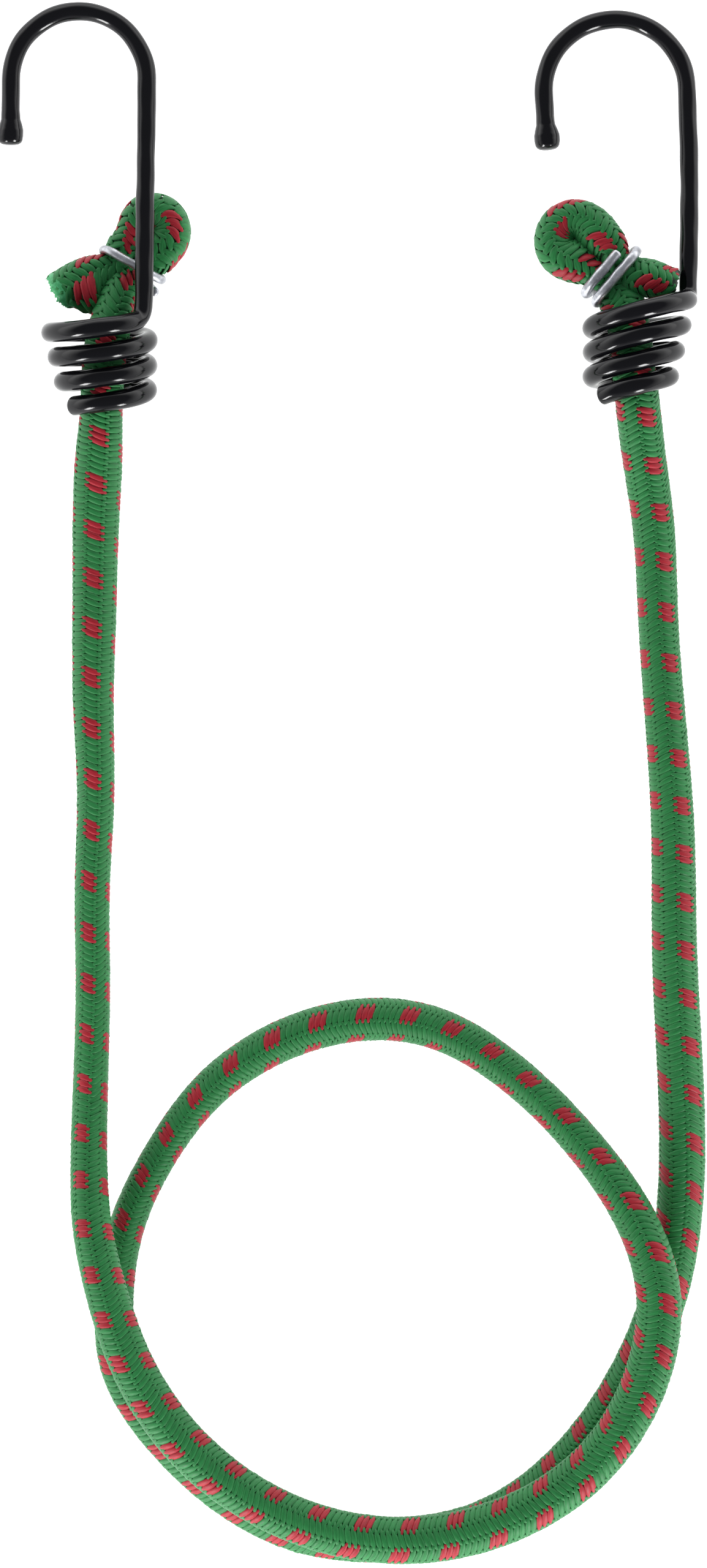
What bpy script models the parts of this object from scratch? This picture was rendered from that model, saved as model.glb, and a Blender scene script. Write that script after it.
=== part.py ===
"""A bungee cord lying flat, with a plastic-dipped wire hook coiled round each end.

The cord is a braided sheath over square rubber strands. It makes one open loop, crossing
over itself on the left, along the bottom and on the right. At each end it comes up through
the coil of a hook, doubles back in a short bight, and is bound to itself by a wire clip,
so that the bight and the cut end cannot pull back through the coil. The hook is free to
turn round the straight stretch of cord inside its coil.

Lengths are in metres unless a name or comment says millimetres, +Z is up, and the whole
part lies on the plane Z = 0.
"""
import math

import bmesh
import bpy
import numpy as np
from mathutils import Euler, Vector

MM = 0.001

# Route of the cord: x, y, height and radius in millimetres, from the left hook's cut end
# to the right hook's. The radius is smaller where a clip or the stretch pinches the cord.
LEFT_BIGHT = [
    (-50.5, -13.5, 9.0, 3.30), (-42.5, -9.6, 8.7, 2.50), (-40.9, -9.1, 8.6, 2.05), (-39.7, -7.5, 8.6, 2.00),
    (-38.5, -5.1, 8.3, 2.50), (-35.7, 0.2, 8.0, 3.14), (-32.9, 0.2, 8.0, 3.14), (-31.0, -2.0, 8.0, 3.14),
    (-31.4, -5.1, 8.1, 3.14), (-33.3, -7.0, 8.3, 2.66), (-35.2, -9.5, 8.6, 2.05), (-37.1, -12.1, 8.8, 2.08),
    (-40.2, -15.9, 9.8, 3.40), (-41.5, -19.3, 10.2, 3.72), (-42.8, -26.3, 9.0, 3.83), (-43.3, -34.4, 7.6, 3.78),
]
OPEN_LOOP = [
    (-43.8, -42.1, 5.9, 4.17), (-44.4, -53.3, 4.3, 4.12), (-44.7, -69.3, 4.0, 3.91), (-44.9, -84.3, 3.7, 3.64),
    (-44.5, -101.4, 3.4, 3.32), (-45.1, -117.5, 3.2, 3.13), (-45.0, -133.6, 3.2, 3.05), (-45.5, -165.4, 6.8, 3.25),
    (-44.8, -175.8, 9.9, 3.46), (-42.5, -186.3, 11.8, 3.66), (-38.4, -198.4, 12.5, 3.82), (-27.5, -214.7, 12.6, 4.03),
    (-9.0, -226.8, 12.6, 4.03), (9.4, -230.2, 12.6, 4.13), (42.2, -216.8, 12.6, 4.03), (51.4, -201.7, 12.6, 4.03),
    (53.4, -188.3, 12.5, 3.92), (40.0, -161.2, 6.6, 3.39), (26.6, -148.5, 4.2, 3.45), (13.8, -141.6, 3.8, 3.69),
    (-23.5, -151.7, 3.4, 3.35), (-32.9, -163.6, 3.1, 3.05), (-39.0, -176.4, 3.1, 3.13), (-41.2, -189.3, 3.4, 3.37),
    (-40.1, -201.0, 3.6, 3.64), (-33.1, -212.4, 3.9, 3.85), (-7.7, -229.9, 4.0, 4.01), (5.2, -231.4, 4.0, 4.01),
    (21.2, -229.2, 4.0, 4.01), (47.1, -206.2, 4.0, 4.01), (55.0, -188.1, 4.1, 4.07), (56.7, -129.2, 4.0, 4.01),
    (56.4, -107.8, 3.9, 3.85), (53.8, -69.3, 3.6, 3.56), (53.0, -54.3, 4.1, 3.69), (51.1, -41.6, 6.9, 3.84),
]
RIGHT_BIGHT = [
    (49.9, -32.8, 9.2, 3.88), (49.0, -24.8, 9.5, 3.78), (47.9, -17.6, 9.8, 3.51), (46.9, -15.1, 9.7, 2.93),
    (45.4, -13.3, 9.7, 2.07), (42.7, -11.1, 9.6, 2.05), (39.4, -9.5, 9.0, 2.93), (35.7, -7.1, 8.3, 3.09),
    (35.1, -4.2, 7.9, 3.09), (36.6, -1.5, 7.8, 3.09), (39.4, -0.6, 8.1, 3.09), (42.1, -1.7, 8.6, 3.09),
    (44.3, -4.1, 9.1, 3.03), (45.9, -6.0, 9.5, 2.50), (46.7, -7.9, 9.7, 2.02), (48.0, -9.2, 9.8, 2.02),
    (52.2, -11.4, 10.5, 3.24), (54.0, -12.2, 10.4, 3.29), (56.0, -12.8, 10.2, 3.30),
]
LONGEST_RING_STEP = 44.0 * MM
TURN_PER_RING = math.radians(33)
RADIUS_CHANGE_PER_RING = 1.2 * MM

# The cord's make-up.
SHEATH_SIDES = 10
SHEATH_WALL = 0.6 * MM
CORE_CLEARANCE = 0.25 * MM
STRAND_SIZE = 0.186             # half a strand's diagonal, as a share of the room in the sheath
STRAND_RINGS = [(4, 0.333), (9, 0.8)]
STRAND_SETBACK = 0.5 * MM       # the rubber springs back this far behind the sheath's cut edge

# The hooks' wire, the same on both.
SHANK_RADIUS = 1.6 * MM         # over the plastic
COIL_RADIUS_OF_WIRE = 1.72 * MM
BORE_RADIUS = 1.38 * MM
STEEL_RADIUS = 1.08 * MM
STEPS_PER_TURN = 13
FOOT_BEND_RADIUS = 2.5 * MM
# The dipped tip: distance past the straight leg in millimetres, and the swell of the wire there.
TIP_SWELL = [(-3.2, 1.06), (-2.4, 1.25), (-1.4, 1.42), (-0.4, 1.42), (0.5, 1.25), (1.0, 0.9)]
CUT_END_SETBACK = 0.3 * MM

HOOKS = {
    "left": {
        "mouth": (-41.7, -19.7, 10.3),
        "lean": -6.9, "rise": 9.9,
        "pitch": 4.2, "ring_radius": 8.52, "taper_per_turn": 0.57, "turn_lean": 9.3,
        "ring_offset": (-1.95, -0.24),
        "first_angle": 39.0, "last_angle": 1224.0,
        "shank_lean": 1.0, "shank_rise": 4.0, "shank_bow": 0.0, "shank_length": 38.9,
        "arc_radius": 11.7, "arc_angle": 180.0, "arc_steps": 12,
        "leg_length": 10.4,
    },
    "right": {
        "mouth": (48.2, -17.8, 9.8),
        "lean": 6.1, "rise": 1.0,
        "pitch": 4.26, "ring_radius": 8.28, "taper_per_turn": 0.54, "turn_lean": 3.4,
        "ring_offset": (2.0, 0.232),
        "first_angle": 2.0, "last_angle": 1217.0,
        "shank_lean": -0.3, "shank_rise": 0.0, "shank_bow": 1.2, "shank_length": 34.3,
        "arc_radius": 12.49, "arc_angle": 183.0, "arc_steps": 13,
        "leg_length": 8.3,
    },
}

# The clips: galvanised wire bent round two passes of cord in a racetrack shape.
CLIP_WIRE_RADIUS = 0.725 * MM
CLIP_HALF_STRAIGHT = 2.45 * MM
CLIP_SIDE_RADIUS = 3.225 * MM
CLIP_PITCH = 2.4 * MM
CLIP_STEP = 30.0
CLIP_BACK_SHARE = 0.8           # how much faster than average the wire advances behind the cord
CLIPS = {
    "left": {"centre": (-38.0, -9.3, 8.6), "turned": -30.0, "from": 255.0, "to": 735.0},
    "right": {"centre": (45.6, -10.6, 9.7), "turned": 49.0, "from": 75.0, "to": 585.0},
}

GREEN = (0.031, 0.262, 0.082)
RUBBER = (0.58, 0.47, 0.30)
BLACK = (0.010, 0.010, 0.013)
STEEL = (0.55, 0.55, 0.56)
ZINC = (0.50, 0.51, 0.55)


def clear_scene():
    for thing in list(bpy.data.objects):
        bpy.data.objects.remove(thing, do_unlink=True)


def make_collection(name):
    group = bpy.data.collections.new(name)
    bpy.context.scene.collection.children.link(group)
    return group


def make_material(name, colour, roughness, metallic):
    material = bpy.data.materials.new(name)
    material.use_nodes = True
    shader = material.node_tree.nodes["Principled BSDF"]
    shader.inputs["Base Color"].default_value = (*colour, 1.0)
    shader.inputs["Roughness"].default_value = roughness
    shader.inputs["Metallic"].default_value = metallic
    material.diffuse_color = (*colour, 1.0)
    return material


def tube(name, points, radii, sides, material, group, capped=True):
    """A round tube through the points, as a curve object with a radius at each point."""
    curve = bpy.data.curves.new(name, "CURVE")
    curve.dimensions = "3D"
    curve.bevel_depth = max(radii)
    curve.bevel_resolution = (sides - 4) // 2
    curve.use_fill_caps = capped
    spline = curve.splines.new("POLY")
    spline.points.add(len(points) - 1)
    for point, place, radius in zip(spline.points, points, radii):
        point.co = (*place, 1.0)
        point.radius = radius / curve.bevel_depth
    spline.use_smooth = True
    curve.materials.append(material)
    thing = bpy.data.objects.new(name, curve)
    group.objects.link(thing)
    return thing


def turn_into_mesh(thing):
    """Replace a capped curve by a mesh of the same name and place, with its caps joined on."""
    view = bpy.context.evaluated_depsgraph_get()
    view.update()
    mesh = bpy.data.meshes.new_from_object(thing.evaluated_get(view))
    body = bmesh.new()
    body.from_mesh(mesh)
    bmesh.ops.remove_doubles(body, verts=body.verts, dist=0.001 * MM)
    bmesh.ops.recalc_face_normals(body, faces=body.faces)
    body.to_mesh(mesh)
    body.free()
    name, group = thing.name, thing.users_collection[0]
    place, parent = thing.matrix_world.copy(), thing.parent
    bpy.data.objects.remove(thing, do_unlink=True)
    solid = bpy.data.objects.new(name, mesh)
    group.objects.link(solid)
    solid.parent = parent
    solid.matrix_world = place
    return solid


def cut_away(solid, cutter):
    cutter.hide_render = True
    cutter.display_type = "WIRE"
    cut = solid.modifiers.new("hollow", "BOOLEAN")
    cut.operation = "DIFFERENCE"
    cut.solver = "EXACT"
    cut.object = cutter


def smooth_curve(rows):
    """A natural cubic curve through rows of numbers whose first three are a place."""
    rows = np.array(rows)
    at = np.r_[0.0, np.cumsum(np.linalg.norm(np.diff(rows[:, :3], axis=0), axis=1))]
    gap = np.diff(at)
    last = len(at) - 1
    system = np.eye(last + 1)
    pull = np.zeros_like(rows)
    for i in range(1, last):
        system[i, i - 1:i + 2] = gap[i - 1], 2 * (gap[i - 1] + gap[i]), gap[i]
        pull[i] = 6 * ((rows[i + 1] - rows[i]) / gap[i] - (rows[i] - rows[i - 1]) / gap[i - 1])
    bend = np.linalg.solve(system, pull)

    def read(where):
        where = np.atleast_1d(where)
        i = np.clip(np.searchsorted(at, where, side="right") - 1, 0, last - 1)
        after, before, span = ((at[i + 1] - where)[:, None], (where - at[i])[:, None], gap[i][:, None])
        return ((bend[i] * after ** 3 + bend[i + 1] * before ** 3) / (6 * span)
                + (rows[i] / span - bend[i] * span / 6) * after
                + (rows[i + 1] / span - bend[i + 1] * span / 6) * before)

    return read, at[-1]


def cord_rings():
    """Centres and radii of the cord's rings, closer together where it bends or narrows."""
    read, length = smooth_curve(np.array(LEFT_BIGHT + OPEN_LOOP + RIGHT_BIGHT) * MM)
    fine = read(np.linspace(0.0, length, 4001))
    step = np.diff(fine, axis=0)
    along = np.linalg.norm(step[:, :3], axis=1)
    heading = step[:, :3] / along[:, None]
    turn = np.arccos(np.clip((heading[1:] * heading[:-1]).sum(axis=1), -1.0, 1.0))
    effort = along / LONGEST_RING_STEP + abs(step[:, 3]) / RADIUS_CHANGE_PER_RING
    effort[1:] += turn / TURN_PER_RING
    total = np.r_[0.0, np.cumsum(effort)]
    wanted = np.linspace(0.0, total[-1], math.ceil(total[-1]) + 1)
    rings = fine[[np.searchsorted(total, value - 1e-9) for value in wanted]]
    return rings[:, :3], rings[:, 3]


def travelling_frames(centres):
    """Two directions across the cord at each ring, carried along it without twist."""
    heading = np.gradient(centres, axis=0)
    heading /= np.linalg.norm(heading, axis=1)[:, None]
    side = np.cross(heading[0], (0.0, 0.0, 1.0))
    frames = []
    for ahead in heading:
        side = side - ahead * (side @ ahead)
        side /= np.linalg.norm(side)
        frames.append((side, np.cross(ahead, side)))
    return frames


def make_sheath(centres, radii, group):
    braid = make_material("braided textile", GREEN, 0.65, 0.0)
    sheath = tube("braided_sheath", centres, radii, SHEATH_SIDES, braid, group, capped=False)
    wall = sheath.modifiers.new("wall", "SOLIDIFY")
    wall.thickness = SHEATH_WALL
    wall.offset = -1.0
    return sheath


def make_strands(centres, radii, group):
    """The rubber core: two rings of square strands that follow the sheath from cut to cut."""
    rubber = make_material("natural rubber", RUBBER, 0.6, 0.0)
    frames = travelling_frames(centres)
    room = radii * math.cos(math.pi / SHEATH_SIDES) - SHEATH_WALL - CORE_CLEARANCE
    number = 0
    for count, share in STRAND_RINGS:
        for i in range(count):
            angle = 2 * math.pi * (i + 0.5) / count
            path = np.array([
                centre + gap * share * (math.cos(angle) * side + math.sin(angle) * other)
                for centre, gap, (side, other) in zip(centres, room, frames)])
            for end, inward in ((0, 1), (-1, -2)):
                run = path[inward] - path[end]
                path[end] += run / np.linalg.norm(run) * STRAND_SETBACK
            number += 1
            name = f"rubber_strand_{number:02d}"
            tube(name, path, room * STRAND_SIZE, 4, rubber, group)


def bend(point, heading, toward, radius, angle, steps):
    """An arc that leaves along a heading and turns toward a side; its points and new heading."""
    side = (toward - heading * toward.dot(heading)).normalized()
    points = []
    for i in range(1, steps + 1):
        turn = angle * i / steps
        points.append(point + radius * (math.sin(turn) * heading + (1 - math.cos(turn)) * side))
    return points, math.cos(angle) * heading + math.sin(angle) * side


def coil_point(hook, degrees):
    """A place on the coil's wire. Angle 90 faces up, and the coil runs down from the mouth."""
    turns = (degrees - 90.0) / 360.0
    angle = math.radians(degrees)
    radius = (hook["ring_radius"] - hook["taper_per_turn"] * turns) * MM
    middle = -hook["pitch"] * MM * turns
    height = middle + radius * math.cos(angle) * math.tan(math.radians(hook["turn_lean"]))
    offset = hook["ring_offset"][0] * MM + hook["ring_offset"][1] * middle
    return Vector((offset + radius * math.cos(angle), -radius * math.sin(angle), height))


def hook_path(hook, turned):
    """The wire's centreline and radii from the coil's cut end to the tip, in the hook's own frame."""
    to_own = turned.to_matrix().inverted()
    lean, rise = math.radians(hook["shank_lean"]), math.radians(hook["shank_rise"])
    shank_heading = Vector((math.sin(lean) * math.cos(rise), math.cos(lean) * math.cos(rise), math.sin(rise)))
    shank_heading = to_own @ shank_heading
    inward = to_own @ Vector((-1.0, 0.0, 0.0))

    steps = round((hook["last_angle"] - hook["first_angle"]) / 360.0 * STEPS_PER_TURN)
    angles = np.linspace(hook["last_angle"], hook["first_angle"], steps + 1)
    path = [coil_point(hook, angle) for angle in angles]
    radii = [COIL_RADIUS_OF_WIRE] * len(path)

    heading = (path[-1] - coil_point(hook, hook["first_angle"] + 1.0)).normalized()
    points, heading = bend(path[-1], heading, shank_heading, FOOT_BEND_RADIUS,
                           heading.angle(shank_heading), 4)
    path += points
    outward = math.tan(math.radians(hook["shank_bow"])) * -inward
    half = hook["shank_length"] * MM / 2
    for leaning in (outward, -outward):
        heading = (shank_heading + leaning).normalized()
        path += [path[-1] + heading * half * share for share in (0.5, 1.0)]
    points, heading = bend(path[-1], heading, inward, hook["arc_radius"] * MM,
                           math.radians(hook["arc_angle"]), hook["arc_steps"])
    path += points
    leg = hook["leg_length"] * MM
    foot = path[-1]
    radii += [SHANK_RADIUS] * (len(path) - len(radii))
    for place, swell in TIP_SWELL:
        path.append(foot + heading * (leg + place * MM))
        radii.append(SHANK_RADIUS * swell)
    return path, radii


def make_hook(side, group, cutters):
    hook = HOOKS[side]
    turned = Euler((math.radians(hook["rise"] - 90.0), 0.0, math.radians(hook["lean"])))
    axis = bpy.data.objects.new(f"{side}_hook_axis", None)
    axis.empty_display_size = 0.01
    group.objects.link(axis)
    axis.location = Vector(hook["mouth"]) * MM
    axis.rotation_euler = turned

    path, radii = hook_path(hook, turned)
    plastic = make_material(f"{side} dipped plastic", BLACK, 0.28, 0.0)
    steel = make_material(f"{side} hook steel", STEEL, 0.35, 1.0)
    start = (path[0] - path[1]).normalized()
    inner = path[:-3]

    coating = tube(f"{side}_hook_coating", path, radii, 8, plastic, group)
    bore = tube(f"{side}_hook_bore", [path[0] + start * 2 * MM] + inner,
                [BORE_RADIUS] * (len(inner) + 1), 6, plastic, cutters)
    core_end = inner[:-1] + [inner[-1] - (inner[-1] - inner[-2]).normalized() * CUT_END_SETBACK]
    core_end[0] = path[0] - start * CUT_END_SETBACK
    wire = tube(f"{side}_hook_wire", core_end, [STEEL_RADIUS] * len(core_end), 6, steel, group)
    for thing in (coating, bore, wire):
        thing.parent = axis
    bpy.context.view_layer.update()
    coating = turn_into_mesh(coating)
    bore = turn_into_mesh(bore)
    cut_away(coating, bore)
    coating.data.shade_smooth()


def make_clip(side, group):
    """A clip in its own frame: X across the two passes of cord, Y along them toward the bight."""
    clip = CLIPS[side]
    steps = round((clip["to"] - clip["from"]) / CLIP_STEP)
    middle = (clip["from"] + clip["to"]) / 2
    path = []
    for degrees in np.linspace(clip["from"], clip["to"], steps + 1):
        angle = math.radians(degrees)
        straight = math.copysign(CLIP_HALF_STRAIGHT, math.cos(angle))
        lead = (degrees - middle) / 360.0 + CLIP_BACK_SHARE * math.cos(angle) / (2 * math.pi)
        path.append(Vector((straight + CLIP_SIDE_RADIUS * math.cos(angle),
                            -CLIP_PITCH * lead, CLIP_SIDE_RADIUS * math.sin(angle))))
    zinc = make_material(f"{side} clip zinc", ZINC, 0.4, 1.0)
    wire = tube(f"{side}_wire_clip", path, [CLIP_WIRE_RADIUS] * len(path), 8, zinc, group)
    wire.location = Vector(clip["centre"]) * MM
    wire.rotation_euler = (0.0, 0.0, math.radians(clip["turned"]))


def build():
    clear_scene()
    cord = make_collection("bungee_cord")
    cutters = make_collection("cutters")
    centres, radii = cord_rings()
    make_sheath(centres, radii, cord)
    make_strands(centres, radii, cord)
    for side in ("left", "right"):
        make_hook(side, cord, cutters)
        make_clip(side, cord)


build()
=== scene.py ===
"""The looks of a bungee cord with a dipped wire hook coiled round each end.

The cord is braided here yarn by yarn over its rubber strands. Sixteen yarns run round it in
helices, eight each way, and every yarn passes over two and under two of the others. Three
neighbouring yarns of one family are red and the other thirteen are green, which gives the red
flecks in four rows along the cord.

Lengths are in metres unless a name or comment says millimetres, +Z is up, and the cord lies on
the plane Z = 0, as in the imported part.
"""
import math

import bpy
import numpy as np
from mathutils import Euler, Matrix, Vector


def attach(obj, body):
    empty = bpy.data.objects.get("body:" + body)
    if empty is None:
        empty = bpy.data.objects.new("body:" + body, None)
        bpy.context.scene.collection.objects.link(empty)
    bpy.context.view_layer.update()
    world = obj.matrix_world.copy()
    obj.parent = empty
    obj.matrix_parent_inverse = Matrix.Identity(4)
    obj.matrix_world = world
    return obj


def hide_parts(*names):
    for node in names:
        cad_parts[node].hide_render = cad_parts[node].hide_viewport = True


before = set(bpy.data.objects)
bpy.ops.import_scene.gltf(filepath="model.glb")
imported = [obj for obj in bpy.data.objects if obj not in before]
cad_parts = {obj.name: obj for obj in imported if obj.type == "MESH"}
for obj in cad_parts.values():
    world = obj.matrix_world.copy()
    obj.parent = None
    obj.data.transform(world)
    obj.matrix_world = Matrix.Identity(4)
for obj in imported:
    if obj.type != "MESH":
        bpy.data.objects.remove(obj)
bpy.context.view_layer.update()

MM = 0.001
TURN = 2 * math.pi

# Camera: straight above the cord, as far away as a hand-held camera would be.
CAMERA_HEIGHT = 0.9
VIEW_CENTRE = (0.00058, -0.09927)
VIEW_HEIGHT = 0.27527           # how much of the table the picture takes in, from top to bottom
SENSOR_HEIGHT = 24.0            # millimetres

# Route of the cord: x, y, height and radius in millimetres, from the left hook's cut end
# to the right hook's, the same as in the part.
LEFT_BIGHT = [
    (-50.5, -13.5, 9.0, 3.30), (-42.5, -9.6, 8.7, 2.50), (-40.9, -9.1, 8.6, 2.05),
    (-39.7, -7.5, 8.6, 2.00), (-38.5, -5.1, 8.3, 2.50), (-35.7, 0.2, 8.0, 3.14),
    (-32.9, 0.2, 8.0, 3.14), (-31.0, -2.0, 8.0, 3.14), (-31.4, -5.1, 8.1, 3.14),
    (-33.3, -7.0, 8.3, 2.66), (-35.2, -9.5, 8.6, 2.05), (-37.1, -12.1, 8.8, 2.08),
    (-40.2, -15.9, 9.8, 3.40), (-41.5, -19.3, 10.2, 3.72), (-42.8, -26.3, 9.0, 3.83),
    (-43.3, -34.4, 7.6, 3.78),
]
OPEN_LOOP = [
    (-43.8, -42.1, 5.9, 4.17), (-44.4, -53.3, 4.3, 4.12), (-44.7, -69.3, 4.0, 3.91),
    (-44.9, -84.3, 3.7, 3.64), (-44.5, -101.4, 3.4, 3.32), (-45.1, -117.5, 3.2, 3.13),
    (-45.0, -133.6, 3.2, 3.05), (-45.5, -165.4, 6.8, 3.25), (-44.8, -175.8, 9.9, 3.46),
    (-42.5, -186.3, 11.8, 3.66), (-38.4, -198.4, 12.5, 3.82), (-27.5, -214.7, 12.6, 4.03),
    (-9.0, -226.8, 12.6, 4.03), (9.4, -230.2, 12.6, 4.13), (42.2, -216.8, 12.6, 4.03),
    (51.4, -201.7, 12.6, 4.03), (53.4, -188.3, 12.5, 3.92), (40.0, -161.2, 6.6, 3.39),
    (26.6, -148.5, 4.2, 3.45), (13.8, -141.6, 3.8, 3.69), (-23.5, -151.7, 3.4, 3.35),
    (-32.9, -163.6, 3.1, 3.05), (-39.0, -176.4, 3.1, 3.13), (-41.2, -189.3, 3.4, 3.37),
    (-40.1, -201.0, 3.6, 3.64), (-33.1, -212.4, 3.9, 3.85), (-7.7, -229.9, 4.0, 4.01),
    (5.2, -231.4, 4.0, 4.01), (21.2, -229.2, 4.0, 4.01), (47.1, -206.2, 4.0, 4.01),
    (55.0, -188.1, 4.1, 4.07), (56.7, -129.2, 4.0, 4.01), (56.4, -107.8, 3.9, 3.85),
    (53.8, -69.3, 3.6, 3.56), (53.0, -54.3, 4.1, 3.69), (51.1, -41.6, 6.9, 3.84),
]
RIGHT_BIGHT = [
    (49.9, -32.8, 9.2, 3.88), (49.0, -24.8, 9.5, 3.78), (47.9, -17.6, 9.8, 3.51),
    (46.9, -15.1, 9.7, 2.93), (45.4, -13.3, 9.7, 2.07), (42.7, -11.1, 9.6, 2.05),
    (39.4, -9.5, 9.0, 2.93), (35.7, -7.1, 8.3, 3.09), (35.1, -4.2, 7.9, 3.09), (36.6, -1.5, 7.8, 3.09),
    (39.4, -0.6, 8.1, 3.09), (42.1, -1.7, 8.6, 3.09), (44.3, -4.1, 9.1, 3.03), (45.9, -6.0, 9.5, 2.50),
    (46.7, -7.9, 9.7, 2.02), (48.0, -9.2, 9.8, 2.02), (52.2, -11.4, 10.5, 3.24),
    (54.0, -12.2, 10.4, 3.29), (56.0, -12.8, 10.2, 3.30),
]
CORD_DIAMETER = 8 * MM
LINE_STEP = 0.15 * MM           # spacing of the places at which the cord's line is kept
SLIMMEST = 0.6                  # the yarns thin down with the cord, but no further than this share

# How the braid lies at places along the cord: distance from the left cut end in millimetres,
# red flecks counted from the first one below the left coil, the angle from the top of the cord
# to the row that they are counted in, in degrees to the right-hand side of travel, and the
# shear, which is how many repeats further on the braid lies at its left side than on top.
BRAID = [
    (3.9, -6, 39, 0.00), (15.9, -5, 0, 0.00), (27.4, -4, -15, 0.20), (40.6, -3, 35, 0.05),
    (51.3, -2, -3, 0.18), (60.0, -1, 3, 0.18), (67.6, 0, 0, 0.18), (110.4, 5, 4, 0.10),
    (155.0, 10, 12, -0.05), (190.6, 14, 24, -0.13), (207.4, 16, 28, -0.14), (230.4, 19, 31, -0.08),
    (256.0, 22, 36, -0.03), (281.7, 25, 40, -0.01), (315.2, 29, 35, 0.02), (349.5, 33, 26, 0.05),
    (366.2, 35, 24, 0.08), (385.1, 37, 21, 0.04), (403.9, 39, 21, 0.03), (419.7, 41, 21, 0.03),
    (434.6, 43, 21, 0.03), (459.4, 46, 21, 0.06), (484.0, 49, 21, -0.01), (500.7, 51, 24, -0.08),
    (517.1, 53, 45, -0.05), (567.0, 59, 45, 0.00), (649.1, 69, 39, 0.05), (665.4, 71, 37, 0.11),
    (682.1, 73, 32, 0.08), (724.1, 78, 30, -0.10), (757.3, 82, 27, -0.15), (784.2, 85, 23, -0.15),
    (801.5, 87, 19, -0.12), (809.4, 88, 23, 0.00), (817.5, 89, 23, 0.00), (828.7, 90, 50, 0.00),
    (841.0, 91, 22, 0.00), (852.6, 92, 24, 0.00), (863.4, 93, 24, 0.00),
]
BRAID_EASING = 10 * MM          # the stations above are eased into each other over this length

# Where the cord swells out beside a clip or presses against itself, and where it is squeezed in
# at its right cut end: distance from the left cut end, half-length, angle from the top to the
# right-hand side of travel, and height, in millimetres and degrees.
BULGES = [
    (2.4, 1.5, 98, 1.3), (4.6, 2.4, 98, 3.6), (8.5, 2.5, 90, 1.2), (11.0, 2.0, 95, 0.7),
    (13.6, 2.4, -90, 1.4), (17.0, 3.0, 90, 0.7), (24.0, 8.0, 105, 0.7), (31.5, 3.0, 90, 0.7),
    (34.2, 2.4, -90, 1.2), (37.5, 2.2, 95, 0.7), (41.5, 3.2, 90, 1.7), (822.5, 3.0, -90, 1.2),
    (822.5, 3.0, 95, 1.0), (826.0, 2.0, 95, 0.6), (832.0, 4.0, 96, 1.0), (841.0, 9.0, 116, 1.3),
    (850.5, 4.0, 98, 1.1), (854.0, 2.0, 95, 0.8), (856.8, 2.2, 95, 0.6), (859.6, 2.8, 92, 2.0),
    (868.0, 3.0, 70, -0.75), (868.0, 3.0, -30, -0.45),
]
BULGE_SHARPNESS = 1.3           # how quickly a bulge falls off round the cord

# Inside a tight bend the surface comes close to the middle of the bend. Crowding is how far it
# has come, where 1 is the middle itself. It is free up to the first value and then held short of 1.
FREE_CROWDING = 0.80
HELD_CROWDING = 0.19
CROWDING_EASING = 0.12

YARNS_EACH_WAY = 8
RED_YARNS = (7, 0, 1)
ROWS_OF_FLOATS = 4              # each way: a yarn floats over two others four times in a turn
YARN_STEPS = 48                 # rings in one turn of a yarn
YARN_SIDES = 8
YARN_SQUARENESS = 0.8           # of its section: 1 is an oval
YARN_HALF_THICKNESS = 0.25 * MM
YARN_WAVE = 0.27 * MM           # how far a yarn rises and dips
YARN_FULLNESS = 1.06            # width of a yarn against the room that its row leaves it
YARN_WANDER = 0.025 * MM        # how unevenly the yarns lie
RUN_ON = 30 * MM                # the braid is worked out this far past both ends and then cut

# The outline of one float, by degrees round the cord from its middle. It stays up, dives, and
# has pointed tips that ride up on their neighbours.
DIVES_FROM, DIVES_OVER = 24, 16
TIP_LIFT, TIP_AT, TIP_SPREAD = 0.5, 27, 6
NARROWS_FROM, NARROWS_OVER = 11, 22
WIDEST, NARROWING = 1.07, 0.88

# The ground under the yarns, seen in the gaps between them. Its two colours are painted shade: a darkened
# copy of the yarns' green.
GROUND_RINGS = 1400
GROUND_SIDES = 16
GAP_SHADE_DARK, GAP_SHADE_LIGHT = (0.004, 0.055, 0.014), (0.008, 0.09, 0.024)

# The rubber strands: how many in each ring, and how far out and how big they are, both as shares
# of the room in the sheath.
STRAND_RINGS = [(4, 0.333), (9, 0.8)]
STRAND_STEPS = 1300
STRAND_SIZE = 0.186             # half a strand's width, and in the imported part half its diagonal
SHEATH_SIDES = 10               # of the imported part's sheath
WALL_AND_CLEARANCE = 0.85 * MM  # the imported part's wall, 0.6 mm, and the 0.25 mm left free inside it
STRAND_SETBACK = 0.5 * MM

# The cut ends: seeds, then how much further the melted rim reaches on top, how ragged it is and
# about how long the loose fibres are, in millimetres, then the name and the dark and light colour
# of the melt, and the dark colours of the fibres.
CUT_ENDS = {
    "left": {
        "seed": 31, "rim_seed": 41, "rim_reach": 0.7, "ragged": 0.5, "loose": 1.0,
        "melt": ("melted light green", (0.045, 0.36, 0.12), (0.09, 0.50, 0.20)),
        "fuzz": (0.006, 0.06, 0.02), "fringe": (0.03, 0.25, 0.08),
    },
    "right": {
        "seed": 32, "rim_seed": 42, "rim_reach": 0.05, "ragged": 0.2, "loose": 0.5,
        "melt": ("scorched yarn", (0.006, 0.012, 0.008), (0.03, 0.06, 0.035)),
        "fuzz": (0.02, 0.03, 0.022), "fringe": (0.012, 0.05, 0.025),
    },
}

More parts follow.
